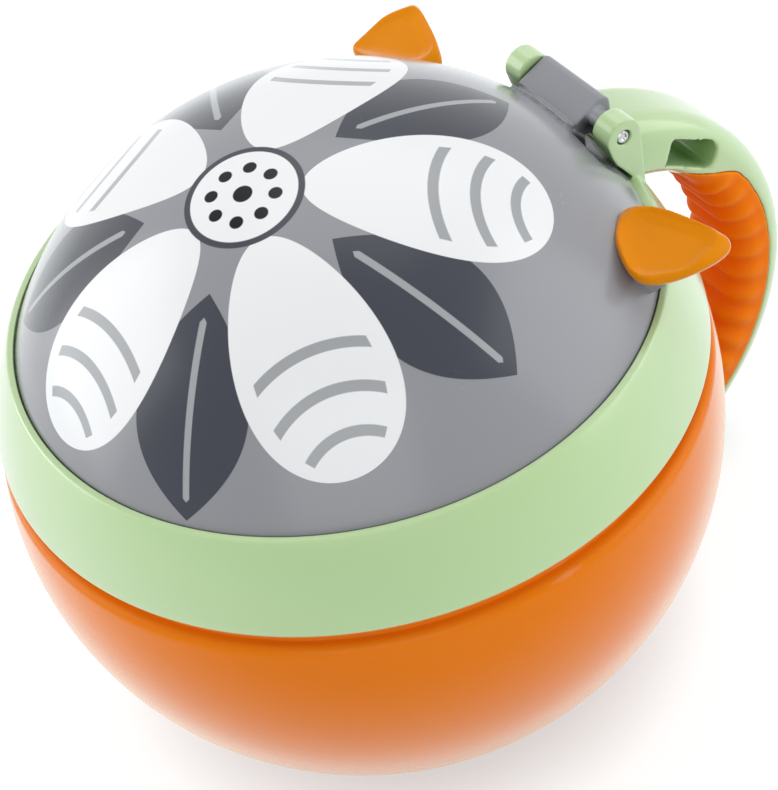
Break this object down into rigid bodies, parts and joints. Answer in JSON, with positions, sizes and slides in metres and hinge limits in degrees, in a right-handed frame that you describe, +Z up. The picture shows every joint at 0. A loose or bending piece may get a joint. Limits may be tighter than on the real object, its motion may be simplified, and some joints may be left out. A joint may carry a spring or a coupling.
{
  "type": "toddler snack container",
  "caption": "Ball-shaped snack cup with a screw-on collar, hinged dome lid with two ears, soft flaps across the mouth and a hooked handle with a ribbed grip.",
  "frame": {"origin": "middle of the flat foot, on the surface the cup stands on", "axes": "+Z up, +Y towards the hinge and handle, +X to the right seen from the front"},
  "size_m": [0.094, 0.114, 0.0868],
  "materials": {
    "orange_plastic": "glossy moulded",
    "mint_plastic": "satin gloss moulded",
    "printed_grey_plastic": "glossy with a printed pattern",
    "ear_plastic": "glossy moulded",
    "orange_grip": "soft matt overmould",
    "pale_plastic": "satin moulded",
    "clear_silicone": "matt silicone",
    "pin_steel": "drawn wire"
  },
  "bodies": {
    "bowl": {"bowl": "orange_plastic"},
    "thread_lift": {"bowl_seal": "clear_silicone"},
    "collar": {"collar": "mint_plastic", "handle_shell": "mint_plastic", "handle_grip": "orange_grip", "hinge_pin": "pin_steel", "flap_ring": "clear_silicone", "flap_retainer": "pale_plastic"},
    "lid": {"lid_dome": "printed_grey_plastic", "lid_liner": "pale_plastic", "lid_seal": "clear_silicone", "ear_left": "ear_plastic", "ear_right": "ear_plastic"},
    "flap_1": {"flap_1": "clear_silicone"},
    "flap_2": {"flap_2": "clear_silicone"},
    "flap_3": {"flap_3": "clear_silicone"},
    "flap_4": {"flap_4": "clear_silicone"},
    "flap_5": {"flap_5": "clear_silicone"},
    "flap_6": {"flap_6": "clear_silicone"}
  },
  "joints": [
    {"name": "collar_lift", "type": "slide", "parent": "bowl", "child": "thread_lift", "axis": [0, 0, 1], "range_m": [0, 0.00901]},
    {"name": "collar_twist", "type": "hinge", "parent": "thread_lift", "child": "collar", "pos_m": [0, 0, 0.0405], "axis": [0, 0, 1], "range_deg": [0, 270]},
    {"name": "lid_hinge", "type": "hinge", "parent": "collar", "child": "lid", "pos_m": [0, 0.0381, 0.071], "axis": [-1, 0, 0], "range_deg": [0, 115]},
    {"name": "flap_1_bend", "type": "hinge", "parent": "collar", "child": "flap_1", "pos_m": [0.0269, 0, 0.0574], "axis": [0, -1, 0], "range_deg": [-45, 55], "stiffness_Nm_per_rad": 0.004},
    {"name": "flap_2_bend", "type": "hinge", "parent": "collar", "child": "flap_2", "pos_m": [0.01345, 0.0233, 0.0574], "axis": [0.866, -0.5, 0], "range_deg": [-45, 55], "stiffness_Nm_per_rad": 0.004},
    {"name": "flap_3_bend", "type": "hinge", "parent": "collar", "child": "flap_3", "pos_m": [-0.01345, 0.0233, 0.0574], "axis": [0.866, 0.5, 0], "range_deg": [-45, 55], "stiffness_Nm_per_rad": 0.004},
    {"name": "flap_4_bend", "type": "hinge", "parent": "collar", "child": "flap_4", "pos_m": [-0.0269, 0, 0.0574], "axis": [0, 1, 0], "range_deg": [-45, 55], "stiffness_Nm_per_rad": 0.004},
    {"name": "flap_5_bend", "type": "hinge", "parent": "collar", "child": "flap_5", "pos_m": [-0.01345, -0.0233, 0.0574], "axis": [-0.866, 0.5, 0], "range_deg": [-45, 55], "stiffness_Nm_per_rad": 0.004},
    {"name": "flap_6_bend", "type": "hinge", "parent": "collar", "child": "flap_6", "pos_m": [0.01345, -0.0233, 0.0574], "axis": [-0.866, -0.5, 0], "range_deg": [-45, 55], "stiffness_Nm_per_rad": 0.004}
  ],
  "couplings": [
    {"joint": "collar_lift", "follows": "collar_twist", "m_per_rad": 0.0019099}
  ]
}
